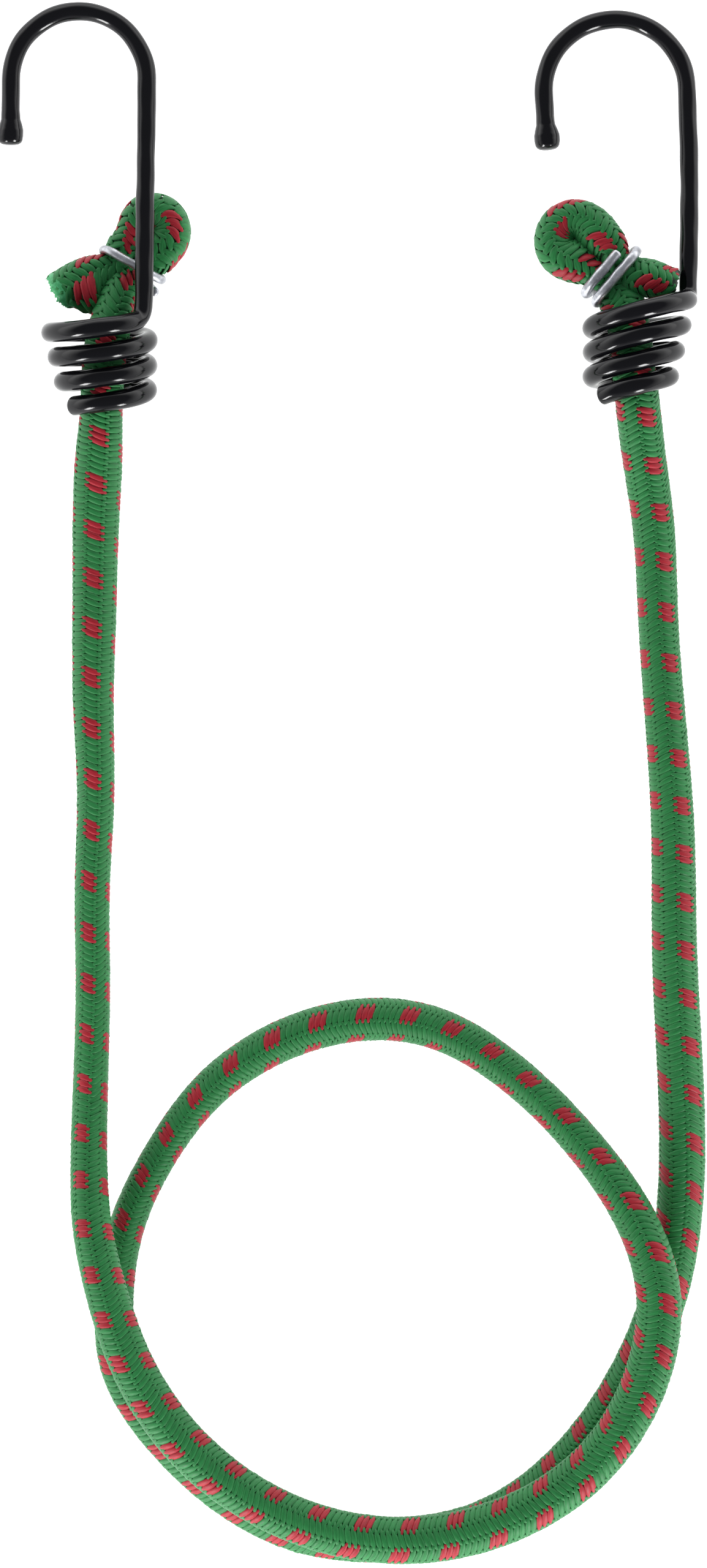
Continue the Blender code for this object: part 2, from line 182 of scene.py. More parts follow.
# The rings of the melted rim, along its outside and back inside: a part of the rim's length, or
# below 0 millimetres back along the cord, and the depth under the surface in millimetres.
RIM_RINGS = [(-0.9, 0.10), (-0.4, 0.02), (0.0, 0.05), (0.5, 0.22), (1.0, 0.5), (0.95, 0.62),
             (0.4, 0.45), (0.0, 0.36), (-0.9, 0.45)]
RIM_SIDES = 96
FUZZ_FIBRES, FUZZ_THICKNESS = 260, 0.055 * MM
FRINGE_FIBRES, FRINGE_THICKNESS = 90, 0.05 * MM
SHANK_SIDE = 70                 # degrees from the top of a cut end toward the hook's wire

# The hooks' wire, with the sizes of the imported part. Angles are in degrees, and the hook's
# own lengths are in millimetres.
SHANK_RADIUS = 1.6 * MM
COIL_RADIUS_OF_WIRE = 1.72 * MM
STEEL_RADIUS = 1.08 * MM
FOOT_BEND_RADIUS = 2.5 * MM
WIRE_STEP = 0.3 * MM
WIRE_EASING = 3 * MM
HOOK_SIDES = 24
STEEL_SIDES = 16
COAT_EASING = 12                # steps over which the coat thins from the coil to the shank
HOOKS = {
    "left": {
        "seed": 11,
        "mouth": (-41.7, -19.7, 10.3),
        "lean": -6.9, "rise": 9.9,
        "pitch": 4.2, "ring_radius": 8.52, "taper_per_turn": 0.57, "turn_lean": 9.3,
        "ring_offset": (-1.95, -0.24),
        "first_angle": 39.0, "last_angle": 1224.0,
        "shank_lean": 1.0, "shank_rise": 4.0, "shank_bow": 0.0, "shank_length": 38.9,
        "arc_radius": 11.7, "arc_angle": 180.0,
        "leg_length": 10.4,
    },
    "right": {
        "seed": 12,
        "mouth": (48.2, -17.8, 9.8),
        "lean": 6.1, "rise": 1.0,
        "pitch": 4.26, "ring_radius": 8.28, "taper_per_turn": 0.54, "turn_lean": 3.4,
        "ring_offset": (2.0, 0.232),
        "first_angle": 2.0, "last_angle": 1217.0,
        "shank_lean": -0.3, "shank_rise": 0.0, "shank_bow": 1.2, "shank_length": 34.3,
        "arc_radius": 12.49, "arc_angle": 183.0,
        "leg_length": 8.3,
    },
}

# The blob of plastic on a hook's tip: millimetres from the end of the straight leg, and the
# radius there against the shank's.
TIP_SWELL = [(-5.0, 1.0), (-3.4, 1.05), (-2.5, 1.24), (-1.5, 1.41), (-0.5, 1.42), (0.2, 1.34), (0.6, 1.18),
             (0.88, 0.9), (1.02, 0.5), (1.06, 0.0)]

# The coat's cut edge at the coil's end, in millimetres: it is open down to the steel, and its
# edge is rounded.
LIP_DEPTH = 0.35
LIP_FLOOR = 0.3
LIP_EDGE = 0.12
LIP_ROUNDING = 0.16

# The clips: galvanised wire bent round two passes of cord in a racetrack shape. Centres are in
# millimetres and angles in degrees. A clip is turned about Z, its wire runs from one angle to the
# other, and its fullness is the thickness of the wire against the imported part's.
CLIP_WIRE_RADIUS = 0.725 * MM
CLIP_HALF_STRAIGHT = 2.45 * MM
CLIP_SIDE_RADIUS = 3.225 * MM
CLIP_PITCH = 2.4 * MM
CLIP_BACK_SHARE = 0.8           # how much faster than average the wire advances behind the cord
CLIP_CORNERS = 6.0              # how sharply a straight runs into its side
CLIP_STEP = 0.25 * MM
CLIP_EASING = 1.2 * MM
CLIP_SIDES = 20
CLIP_END_SHARE = 0.7            # thickness of the wire at its cut ends
CLIP_SEED = 61
CLIPS = {
    "left": {"centre": (-38.0, -9.3, 8.6), "turned": -30.0, "from": 255.0, "to": 735.0, "fullness": 1.07},
    "right": {"centre": (45.6, -10.6, 9.7), "turned": 49.0, "from": 75.0, "to": 585.0, "fullness": 1.2},
}

GREEN = (0.0122, 0.196, 0.0435)
RED = (0.38, 0.006, 0.018)

# The studio: a pale floor that glows a little, so that it comes out white, a sky that is darker
# overhead and toward -Y, and two windows low down toward -Y, one on each side.
FLOOR_HALF_WIDTH = 3
FLOOR_HEIGHT = -0.0002
FLOOR_GLOW = 0.9
SKY_STRENGTH = 2.6
SKY_OVERHEAD = (0.09, 0.092, 0.10)
SKY_TOWARD_MINUS_Y = (0.30, 0.30, 0.31)
WINDOW_PLACE = (0.56, -1.10, 0.26)
WINDOW_TARGET = (0.02, -0.1, 0.0)
WINDOW_SIZE = (0.24, 0.48)
WINDOW_POWER = 9.0


def run_along(points):
    """How far along a line each of its points lies."""
    return np.r_[0.0, np.cumsum(np.linalg.norm(np.diff(points, axis=0), axis=1))]


def smooth_curve(rows):
    """A natural cubic curve through rows of numbers whose first three are a place."""
    rows = np.array(rows)
    at = run_along(rows[:, :3])
    gap = np.diff(at)
    last = len(at) - 1
    system = np.eye(last + 1)
    pull = np.zeros_like(rows)
    for i in range(1, last):
        system[i, i - 1:i + 2] = gap[i - 1], 2 * (gap[i - 1] + gap[i]), gap[i]
        pull[i] = 6 * ((rows[i + 1] - rows[i]) / gap[i] - (rows[i] - rows[i - 1]) / gap[i - 1])
    bend = np.linalg.solve(system, pull)

    def read(where):
        where = np.atleast_1d(where)
        i = np.clip(np.searchsorted(at, where, side="right") - 1, 0, last - 1)
        after, before, span = (at[i + 1] - where)[:, None], (where - at[i])[:, None], gap[i][:, None]
        return ((bend[i] * after ** 3 + bend[i + 1] * before ** 3) / (6 * span)
                + (rows[i] / span - bend[i] * span / 6) * after
                + (rows[i + 1] / span - bend[i + 1] * span / 6) * before)

    return read, at[-1]


def unit(vectors):
    return vectors / np.linalg.norm(vectors, axis=-1, keepdims=True)


def eased(values, width):
    """Values at even steps, averaged over a width of steps and run straight on past both ends."""
    half = max(1, int(width / 2))
    before = values[0] - (values[1] - values[0]) * np.arange(half, 0, -1)
    after = values[-1] + (values[-1] - values[-2]) * np.arange(1, half + 1)
    window = np.hanning(2 * half + 3)[1:-1]
    return np.convolve(np.r_[before, values, after], window / window.sum(), "valid")


class Line:
    """The cord's centreline at even steps, with the directions across it and its braid."""

    def __init__(self):
        read, span = smooth_curve(np.array(LEFT_BIGHT + OPEN_LOOP + RIGHT_BIGHT) * MM)
        fine = read(np.linspace(0.0, span, 20001))
        run = run_along(fine[:, :3])
        self.length = run[-1]
        self.at = np.linspace(0.0, run[-1], int(run[-1] / LINE_STEP) + 1)
        rows = np.stack([np.interp(self.at, run, column) for column in fine.T], axis=1)
        self.step = self.at[1]
        self.centre, self.radius = rows[:, :3], rows[:, 3]
        self.ahead = unit(np.gradient(self.centre, axis=0))
        self.right = unit(np.cross(self.ahead, (0.0, 0.0, 1.0)))
        self.up = np.cross(self.right, self.ahead)
        self.bend = np.gradient(self.ahead, self.step, axis=0)
        self.side, self.other = self.untwisted()
        self.lay_braid()

    def untwisted(self):
        """Two directions across the cord, carried along it without twist."""
        side = np.cross(self.ahead[0], (0.0, 0.0, 1.0))
        sides = []
        for ahead in self.ahead:
            side = side - ahead * (side @ ahead)
            side = side / np.linalg.norm(side)
            sides.append(side)
        sides = np.array(sides)
        return sides, np.cross(self.ahead, sides)

    def lay_braid(self):
        """Repeats of the braid, the angle of their row and their shear, at each of the line's places."""
        width = BRAID_EASING / self.step
        away, repeats, degrees, shear = np.array(BRAID).T
        away = away * MM
        first_slope = (repeats[1] - repeats[0]) / (away[1] - away[0])
        last_slope = (repeats[-1] - repeats[-2]) / (away[-1] - away[-2])
        repeats = np.r_[repeats[0] - first_slope * away[0], repeats,
                        repeats[-1] + last_slope * (self.length - away[-1])]
        self.repeats = eased(np.interp(self.at, np.r_[0.0, away, self.length], repeats), width)
        self.row_angle = eased(np.interp(self.at, away, np.radians(degrees)), width)
        self.shear = eased(np.interp(self.at, away, shear), width)
        self.repeat_length = 1.0 / np.gradient(self.repeats, self.step)

    def read(self, values, where):
        if values.ndim == 1:
            return np.interp(where, self.at, values)
        return np.stack([np.interp(where, self.at, column) for column in values.T], axis=1)

    def slimness(self, where):
        """How thick the cord is against its resting thickness, within what the yarns follow."""
        return (self.read(self.radius, where) / (CORD_DIAMETER / 2)).clip(SLIMMEST, 1.0)

    def surface(self, where, angle, depth):
        """Places at a depth under the surface, the way out, and the cord's length there for 1 on its line."""
        out = (np.cos(angle)[:, None] * self.read(self.up, where)
               + np.sin(angle)[:, None] * self.read(self.right, where))
        out = unit(out)
        reach = self.read(self.radius, where) - depth
        for middle, half, degrees, height in BULGES:
            near = np.exp(-((where / MM - middle) / half) ** 2)
            facing = np.maximum(np.cos(angle - math.radians(degrees)), 0.0) ** BULGE_SHARPNESS
            reach = reach + height * MM * near * facing
        crowding = reach * (out * self.read(self.bend, where)).sum(axis=1)
        beyond = np.maximum(crowding - FREE_CROWDING, 0.0)
        held = FREE_CROWDING + HELD_CROWDING * (1 - np.exp(-beyond / CROWDING_EASING))
        drawn_in = reach * held / np.maximum(crowding, FREE_CROWDING)
        reach = np.where(crowding > FREE_CROWDING, drawn_in, reach)
        crowding = np.minimum(crowding, held)
        return self.read(self.centre, where) + reach[:, None] * out, out, 1.0 - crowding


def grid_mesh(name, rings, sides, length_along, capped=True):
    """A tube from rings of vertices, capped or open, with a map of its length and its way round."""
    count = len(rings)
    vertices = rings.reshape(-1, 3)
    i = np.arange(count - 1)[:, None] * sides
    j = np.arange(sides)[None, :]
    k = (j + 1) % sides
    faces = np.stack([i + j, i + k, i + sides + k, i + sides + j], axis=-1).reshape(-1, 4).tolist()
    if capped:
        faces.append(list(range(sides))[::-1])
        faces.append(list(range((count - 1) * sides, count * sides)))
    mesh = bpy.data.meshes.new(name)
    mesh.from_pydata(vertices.tolist(), [], faces)
    add_lengthwise_map(mesh, count, sides, length_along, capped)
    return placed(name, mesh)


def add_lengthwise_map(mesh, count, sides, length_along, capped):
    """A map whose first number is the length along the tube and whose second is the way round it."""
    along = np.broadcast_to(length_along[:, None], (count, sides + 1))
    round_ = np.broadcast_to(np.arange(sides + 1) / sides, (count, sides + 1))
    corner = np.stack([along, round_], axis=-1)
    quads = np.stack([corner[:-1, :-1], corner[:-1, 1:], corner[1:, 1:], corner[1:, :-1]], axis=2)
    flat = quads.reshape(-1, 2)
    if capped:
        flat = np.vstack([flat, np.tile(corner[0, 0], (sides, 1)), np.tile(corner[-1, 0], (sides, 1))])
    layer = mesh.uv_layers.new(name="lengthwise")
    layer.uv.foreach_set("vector", flat.astype(np.float32).ravel())


def placed(name, mesh):
    """An object of a mesh, smooth and in the scene."""
    mesh.shade_smooth()
    thing = bpy.data.objects.new(name, mesh)
    bpy.context.scene.collection.objects.link(thing)
    return thing


def swept(name, path, outward, half_width, half_height, sides, squareness=1.0):
    """A tube whose section is an oval, or squarer, lying flat against an outward direction."""
    path = np.asarray(path)
    ahead = unit(np.gradient(path, axis=0))
    outward = unit(outward - ahead * (outward * ahead).sum(axis=1, keepdims=True))
    across = np.cross(ahead, outward)
    angle = (np.arange(sides) + 0.5) * TURN / sides
    wide = np.sign(np.cos(angle)) * abs(np.cos(angle)) ** squareness
    high = np.sign(np.sin(angle)) * abs(np.sin(angle)) ** squareness
    rings = (path[:, None, :]
             - np.asarray(half_width)[:, None, None] * wide[None, :, None] * across[:, None, :]
             + np.asarray(half_height)[:, None, None] * high[None, :, None] * outward[:, None, :])
    return grid_mesh(name, rings, sides, run_along(path) / MM)


def drifting(count, every, seed):
    """Smooth random numbers: a new one every so many steps, joined by a soft curve."""
    random = np.random.default_rng(seed)
    knots = random.normal(0.0, 1.0, int(count / every) + 3)
    return eased(np.interp(np.arange(count) / every, np.arange(len(knots)), knots), every)


def yarn_way(line, number, with_red):
    """Where a yarn of one family runs: places along the cord, and turns made round it."""
    start, end = line.repeats[0] - 1.0, line.repeats[-1] + 1.0
    count = int((end - start) * YARN_STEPS)
    share = start + np.arange(count) / YARN_STEPS
    if with_red:
        turns = number / YARNS_EACH_WAY - share
    else:
        turns = share - (number + 0.5) / YARNS_EACH_WAY
    at = np.r_[-RUN_ON, line.at, line.length + RUN_ON]
    repeats = np.r_[line.repeats[0] - RUN_ON / line.repeat_length[0], line.repeats,
                    line.repeats[-1] + RUN_ON / line.repeat_length[-1]]
    where = np.interp(share, repeats, at)
    for _ in range(6):          # the shear depends on the place, so the place is found step by step
        row, shear = line.read(line.row_angle, where), line.read(line.shear, where)
        where = np.interp(share + shear * (np.sin(row) ** 3 - np.sin(TURN * turns + row) ** 3), repeats, at)
    keep = (where >= 0.0) & (where <= line.length)
    first, last = np.flatnonzero(keep)[[0, -1]]
    return where[first:last + 1].clip(0.0, line.length), turns[first:last + 1]


def float_outline(turns, float_shift):
    """How high a yarn rides, about 1 on a float and -1 under the others, and how full it is."""
    wave = np.cos(TURN * (ROWS_OF_FLOATS * turns - float_shift))
    off = 180 / ROWS_OF_FLOATS * np.arccos(wave.clip(-1.0, 1.0)) / math.pi
    fall = ((off - DIVES_FROM) / DIVES_OVER).clip(0.0, 1.0)
    rise = 1 - 2 * fall ** 2 * (3 - 2 * fall) + TIP_LIFT * np.exp(-((off - TIP_AT) / TIP_SPREAD) ** 2)
    spindle = WIDEST - NARROWING * ((off - NARROWS_FROM) / NARROWS_OVER).clip(0.0, 1.0)
    return rise, spindle


def yarn(line, number, with_red, name):
    """One yarn of the braid, in the family with the red yarns or in the other."""
    where, turns = yarn_way(line, number, with_red)
    angle = TURN * turns + line.read(line.row_angle, where)
    rise, spindle = float_outline(turns, 0.0 if with_red else 0.5)
    slim = line.slimness(where)
    seed = number + (0 if with_red else YARNS_EACH_WAY)
    wander = drifting(len(where), 6, seed)
    swell = drifting(len(where), 7, seed + 100)
    thick = YARN_HALF_THICKNESS * slim * (0.6 + 0.4 * spindle) * (1 + 0.06 * swell)
    depth = YARN_HALF_THICKNESS * slim + YARN_WAVE * slim * (1 - rise) + YARN_WANDER * (wander + 1)
    place, out, shorter = line.surface(where, angle, depth)

    ahead = unit(np.gradient(place, axis=0))
    lengthwise = (ahead * line.read(line.ahead, where)).sum(axis=1)
    room = line.read(line.repeat_length, where) / YARNS_EACH_WAY * shorter * np.sqrt(1 - lengthwise ** 2)
    wide = 0.5 * room * YARN_FULLNESS * spindle * (1 + 0.05 * wander)
    return swept(name, place, out, wide, thick, YARN_SIDES, YARN_SQUARENESS)


def shader_of(name, colour, roughness, metallic=0.0):
    material = bpy.data.materials.new(name)
    material.use_nodes = True
    shader = material.node_tree.nodes["Principled BSDF"]
    shader.inputs["Base Color"].default_value = (*colour, 1.0)
    shader.inputs["Roughness"].default_value = roughness
    shader.inputs["Metallic"].default_value = metallic
    return material, material.node_tree, shader


def mixed(tree, share, first, second):
    """The output of a colour mix. Each colour is a fixed one or another node's output."""
    mix = tree.nodes.new("ShaderNodeMix")
    mix.data_type = "RGBA"
    for socket, value in ((mix.inputs[0], share), (mix.inputs[6], first), (mix.inputs[7], second)):
        if isinstance(value, bpy.types.NodeSocket):
            tree.links.new(value, socket)
        else:
            socket.default_value = (*value, 1.0)
    return mix.outputs[2]


def ramp(tree, value, low, high, least=0.0, most=1.0):
    """A value moved from one range to another and kept inside it."""
    made = tree.nodes.new("ShaderNodeMapRange")
    for i, number in enumerate((low, high, least, most)):
        made.inputs[i + 1].default_value = number
    tree.links.new(value, made.inputs[0])
    return made.outputs[0]


def noise(tree, place, scale, detail=2.0, roughness=0.5):
    made = tree.nodes.new("ShaderNodeTexNoise")
    made.inputs["Scale"].default_value = scale
    made.inputs["Detail"].default_value = detail
    made.inputs["Roughness"].default_value = roughness
    tree.links.new(place, made.inputs["Vector"])
    return made.outputs["Fac"]


def lengthwise_place(tree, scale):
    """A tube's own map of its length and its way round, stretched, as a place for a texture."""
    source = tree.nodes.new("ShaderNodeUVMap")
    source.uv_map = "lengthwise"
    mapping = tree.nodes.new("ShaderNodeMapping")
    mapping.inputs["Scale"].default_value = scale
    tree.links.new(source.outputs["UV"], mapping.inputs["Vector"])
    return mapping.outputs["Vector"]


def object_place(tree):
    return tree.nodes.new("ShaderNodeTexCoord").outputs["Object"]


def bumped(tree, shader, height, strength, distance):
    made = tree.nodes.new("ShaderNodeBump")
    made.inputs["Strength"].default_value = strength
    made.inputs["Distance"].default_value = distance
    tree.links.new(height, made.inputs["Height"])
    tree.links.new(made.outputs["Normal"], shader.inputs["Normal"])


def yarn_material(name, colour):
    """Fine shiny filaments that run along the yarn, lighter and darker by turns."""
    material, tree, shader = shader_of(name, colour, 0.5)
    filaments = noise(tree, lengthwise_place(tree, (0.35, 26.0, 1.0)), 1.0, 3.0, 0.6)
    patches = noise(tree, object_place(tree), 220.0, 2.0)
    dark = tuple(0.62 * value for value in colour)
    light = tuple(1.3 * value + 0.006 for value in colour)
    streaked = mixed(tree, ramp(tree, filaments, 0.32, 0.68), dark, light)
    worn = mixed(tree, ramp(tree, patches, 0.35, 0.7, 0.0, 0.25), streaked, light)
    tree.links.new(worn, shader.inputs["Base Color"])
    tree.links.new(ramp(tree, filaments, 0.3, 0.7, 0.42, 0.6), shader.inputs["Roughness"])
    shader.inputs["Specular IOR Level"].default_value = 0.35
    shader.inputs["Sheen Weight"].default_value = 0.1
    shader.inputs["Sheen Roughness"].default_value = 0.45
    bumped(tree, shader, filaments, 0.5, 0.04 * MM)
    return material


def gap_shade_material():
    """Painted shade in the gaps between the yarns: a green far darker than the yarns', with a fine random
    grain.
    """
    material, tree, shader = shader_of("braid ground painted shade", GAP_SHADE_DARK, 0.8)
    grain = noise(tree, object_place(tree), 1500.0)
    tree.links.new(mixed(tree, grain, GAP_SHADE_DARK, GAP_SHADE_LIGHT), shader.inputs["Base Color"])
    return material


def rubber_material():
    material, tree, shader = shader_of("natural rubber", (0.55, 0.44, 0.28), 0.6)
    grain = noise(tree, object_place(tree), 900.0, 3.0)
    tree.links.new(mixed(tree, grain, (0.40, 0.31, 0.19), (0.66, 0.56, 0.40)), shader.inputs["Base Color"])
    return material


def plastic_material():
    """Black vinyl from a dip: glossy, with a faint orange peel."""
    material, tree, shader = shader_of("dipped black plastic", (0.003, 0.003, 0.0042), 0.22)
    shader.inputs["Specular IOR Level"].default_value = 0.32
    place = object_place(tree)
    smears = noise(tree, place, 160.0, 3.0)
    tree.links.new(ramp(tree, smears, 0.3, 0.75, 0.09, 0.17), shader.inputs["Roughness"])
    peel = noise(tree, place, 900.0, 2.0)
    bumped(tree, shader, peel, 0.35, 0.03 * MM)
    return material


def steel_material():
    material, tree, shader = shader_of("hook steel", (0.5, 0.5, 0.5), 0.35, 1.0)
    grain = noise(tree, object_place(tree), 2500.0, 3.0)
    tree.links.new(mixed(tree, grain, (0.35, 0.35, 0.36), (0.62, 0.62, 0.63)), shader.inputs["Base Color"])
    return material


def zinc_material():
    """Galvanised wire: mottled, half dull."""
    material, tree, shader = shader_of("galvanised zinc", (0.5, 0.51, 0.55), 0.4, 1.0)
    blotches = noise(tree, object_place(tree), 700.0, 3.0, 0.6)
    tone = mixed(tree, ramp(tree, blotches, 0.35, 0.65), (0.36, 0.37, 0.40), (0.68, 0.69, 0.73))
    tree.links.new(tone, shader.inputs["Base Color"])
    tree.links.new(ramp(tree, blotches, 0.3, 0.7, 0.55, 0.32), shader.inputs["Roughness"])
    scratches = noise(tree, lengthwise_place(tree, (0.6, 14.0, 1.0)), 1.0, 2.0)
    bumped(tree, shader, scratches, 0.3, 0.03 * MM)
    return material


def melt_material(name, dark, light):
    """Nylon that a hot knife has melted: waxy and blotched."""
    material, tree, shader = shader_of(name, light, 0.42)
    blotches = noise(tree, object_place(tree), 1300.0, 3.0, 0.6)
    tree.links.new(mixed(tree, ramp(tree, blotches, 0.35, 0.65), dark, light), shader.inputs["Base Color"])
    bumped(tree, shader, blotches, 0.5, 0.08 * MM)
    return material


def fibre_material(name, dark, contrast):
    """Loose fibres of the same nylon, with light blotches that are so many times brighter."""
    return melt_material(name, dark, tuple(contrast * value for value in dark))


def dress(thing, material, slot, *nodes):
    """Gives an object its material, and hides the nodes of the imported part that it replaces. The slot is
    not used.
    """
    thing.data.materials.clear()
    thing.data.materials.append(material)
    if nodes:
        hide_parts(*nodes)


def make_yarns(line):
    """The sixteen yarns, those of the family with the red ones first."""
    green, red = yarn_material("green yarn", GREEN), yarn_material("red yarn", RED)
    yarns = []
    for family, with_red in (("a", True), ("b", False)):
        for number in range(YARNS_EACH_WAY):
            made = yarn(line, number, with_red, f"braid_yarn_{family}{number + 1}")
            dress(made, red if with_red and number in RED_YARNS else green, "braid")
            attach(made, "cord")
            yarns.append(made)
    return yarns


def make_ground(line, where):
    """The tube under the yarns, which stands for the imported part's sheath."""
    depth = (2 * YARN_HALF_THICKNESS + 0.2 * YARN_WAVE) * line.slimness(where)
    rings = [line.surface(where, np.full(len(where), angle), depth)[0]
             for angle in np.arange(GROUND_SIDES) * TURN / GROUND_SIDES]
    ground = grid_mesh("braid_ground", np.stack(rings, axis=1), GROUND_SIDES, where / MM)
    dress(ground, gap_shade_material(), "braid", "braided_sheath")
    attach(ground, "cord")
    return ground


def make_cord(line):
    """The braid and its cut ends: the cord that leaves the left hook's coil."""
    yarns = make_yarns(line)
    where = np.linspace(0.0, line.length, GROUND_RINGS)
    base = line.read(line.centre, where)
    ground = make_ground(line, where)
    ends = make_cut_end(line, "left") + make_cut_end(line, "right")


def make_strands(line):
    """The rubber core: two rings of square strands that follow the sheath from cut to cut."""
    rubber = rubber_material()
    where = np.linspace(STRAND_SETBACK, line.length - STRAND_SETBACK, STRAND_STEPS)
    centre, side, other = (line.read(values, where) for values in (line.centre, line.side, line.other))
    room = line.read(line.radius, where) * math.cos(math.pi / SHEATH_SIDES) - WALL_AND_CLEARANCE
    thick = room * STRAND_SIZE / math.sqrt(0.5)
    number = 0
    for count, share in STRAND_RINGS:
        for i in range(count):
            angle = TURN * (i + 0.5) / count
            out = math.cos(angle) * side + math.sin(angle) * other
            number += 1
            strand = swept(f"core_strand_{number:02d}", centre + (room * share)[:, None] * out, out,
                           thick, thick, 4)
            dress(strand, rubber, "rubber", f"rubber_strand_{number:02d}")
            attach(strand, "cord")


def turned_toward(point, heading, toward, radius, angle, steps):
    """An arc that leaves along a heading and turns toward a side; its points and new heading."""
    side = (toward - heading * toward.dot(heading)).normalized()
    points = []
    for i in range(1, steps + 1):
        turn = angle * i / steps
        points.append(point + radius * (math.sin(turn) * heading + (1 - math.cos(turn)) * side))
    return points, math.cos(angle) * heading + math.sin(angle) * side


def coil_point(hook, degrees):
    """A place on the coil's wire. Angle 90 faces up, and the coil runs down from the mouth."""
    turns = (degrees - 90.0) / 360.0
    angle = math.radians(degrees)
    radius = (hook["ring_radius"] - hook["taper_per_turn"] * turns) * MM
    middle = -hook["pitch"] * MM * turns
    height = middle + radius * math.cos(angle) * math.tan(math.radians(hook["turn_lean"]))
    offset = hook["ring_offset"][0] * MM + hook["ring_offset"][1] * middle
    return Vector((offset + radius * math.cos(angle), -radius * math.sin(angle), height))


def hook_line(hook):
    """The wire's line from the coil's cut end to the end of its straight leg, and the leg's heading.

    The last value is the number of steps that the coil takes up.
    """
    turned = Euler((math.radians(hook["rise"] - 90.0), 0.0, math.radians(hook["lean"]))).to_matrix()
    mouth = Vector(hook["mouth"]) * MM
    lean, rise = math.radians(hook["shank_lean"]), math.radians(hook["shank_rise"])
    upright = Vector((math.sin(lean) * math.cos(rise), math.cos(lean) * math.cos(rise), math.sin(rise)))
    inward = Vector((-1.0, 0.0, 0.0))

    angles = np.arange(hook["last_angle"], hook["first_angle"] - 0.01, -3.0)
    coil = [mouth + turned @ coil_point(hook, angle) for angle in angles]
    path = list(coil)
    heading = (path[-1] - path[-2]).normalized()
    points, heading = turned_toward(path[-1], heading, upright, FOOT_BEND_RADIUS, heading.angle(upright), 12)
    path += points
    outward = math.tan(math.radians(hook["shank_bow"])) * -inward
    half = hook["shank_length"] * MM / 2
    for leaning in (outward, -outward):
        heading = (upright + leaning).normalized()
        path += [path[-1] + heading * half * share for share in (0.5, 1.0)]
    points, heading = turned_toward(path[-1], heading, inward, hook["arc_radius"] * MM,
                                    math.radians(hook["arc_angle"]), 60)
    path += points
    path.append(path[-1] + heading * hook["leg_length"] * MM)
    return evenly(path, WIRE_STEP, WIRE_EASING), np.array(heading), len(evenly(coil, WIRE_STEP))


def evenly(points, step, easing=0.0):
    """The points of a line spread out at even steps, with its corners eased."""
    points = np.array([tuple(point) for point in points])
    run = run_along(points)
    keep = np.r_[True, np.diff(run) > 1e-7]
    wanted = np.linspace(0.0, run[-1], int(run[-1] / step) + 1)
    spread = [np.interp(wanted, run[keep], column[keep]) for column in points.T]
    if easing:
        spread = [eased(column, easing / step) for column in spread]
    return np.stack(spread, axis=1)


def round_sweep(name, path, radii, sides):
    """A tube of round rings, with one radius for each ring or one for each place round it."""
    ahead = unit(np.gradient(path, axis=0))
    side = np.array((0.0, 0.0, 1.0))
    rings = []
    angle = np.arange(sides) * TURN / sides
    for place, along, radius in zip(path, ahead, radii):
        side = side - along * (side @ along)
        side /= np.linalg.norm(side)
        other = np.cross(along, side)
        out = np.cos(angle)[:, None] * side + np.sin(angle)[:, None] * other
        rings.append(place + np.reshape(radius, (-1, 1)) * out)
    return grid_mesh(name, np.array(rings), sides, run_along(path) / MM)


def dents(rings, sides, random, amount, slowest, fastest, waves):
    """Shallow dents in a wire, for each ring and each place round it, as shares of its radius."""
    place = np.arange(rings)[:, None]
    angle = (np.arange(sides) * TURN / sides)[None, :]
    return amount * sum(
        np.sin(place * random.uniform(slowest, fastest) + random.uniform(0, TURN) + count * angle)
        for count in waves)


def with_tip(path, radii, heading):
    """The coat's line and radii with the end of the leg swollen into the hook's tip."""
    swell = np.array(TIP_SWELL)
    starts, ends = swell[0, 0], swell[-1, 0]
    fine = np.r_[np.linspace(starts, 0.0, 26), ends * np.sin(np.linspace(0.06, math.pi / 2, 16))]
    run = np.arange(len(path)) * WIRE_STEP / MM
    keep = run < run[-1] + starts - 0.1
    tip = path[-1] + heading * fine[:, None] * MM
    fitting = np.interp(fine, swell[:, 0], swell[:, 1])
    return np.vstack([path[keep], tip]), np.r_[radii[keep], SHANK_RADIUS * fitting]


def with_lip(path, radii, waves):
    """The coat's line and radii with its cut edge at the coil's end, open down to the steel."""
    start = unit(path[0] - path[1])
    ahead = start * LIP_EDGE * MM
    lip = [path[0] - start * LIP_DEPTH * MM, path[0] - start * LIP_FLOOR * MM, path[0] + ahead * 0.6,
           path[0] + ahead]
    inner = (STEEL_RADIUS + 0.03 * MM) * np.ones(HOOK_SIDES)
    lip_radii = [inner * 0.2, inner, inner, (COIL_RADIUS_OF_WIRE - LIP_ROUNDING * MM) * waves[0]]
    return np.vstack([lip, path]), np.vstack([lip_radii, radii])


def make_hook(side, plastic, steel):
    """A hook's steel wire, and the plastic coat that it was dipped in."""
    hook = HOOKS[side]
    wire_line, heading, coil_steps = hook_line(hook)
    radii = np.where(np.arange(len(wire_line)) < coil_steps, COIL_RADIUS_OF_WIRE, SHANK_RADIUS)
    path, radii = with_tip(wire_line, eased(radii, COAT_EASING), heading)
    random = np.random.default_rng(hook["seed"])
    waves = 1 + dents(len(path), HOOK_SIDES, random, amount=0.012, slowest=0.05, fastest=0.3,
                      waves=(0, 1, 1, 2, 3))
    path, radii = with_lip(path, radii[:, None] * waves, waves)
    coating = round_sweep(f"{side}_hook_dipped_coat", path, radii, HOOK_SIDES)
    dress(coating, plastic, "black_plastic", f"{side}_hook_coating")
    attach(coating, f"{side}_hook")

    steel_line = wire_line[1:-3]        # it stops short of the coat at both ends
    wire = round_sweep(f"{side}_hook_steel", steel_line, np.full(len(steel_line), STEEL_RADIUS), STEEL_SIDES)
    dress(wire, steel, "hook_steel", f"{side}_hook_wire")
    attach(wire, f"{side}_hook")


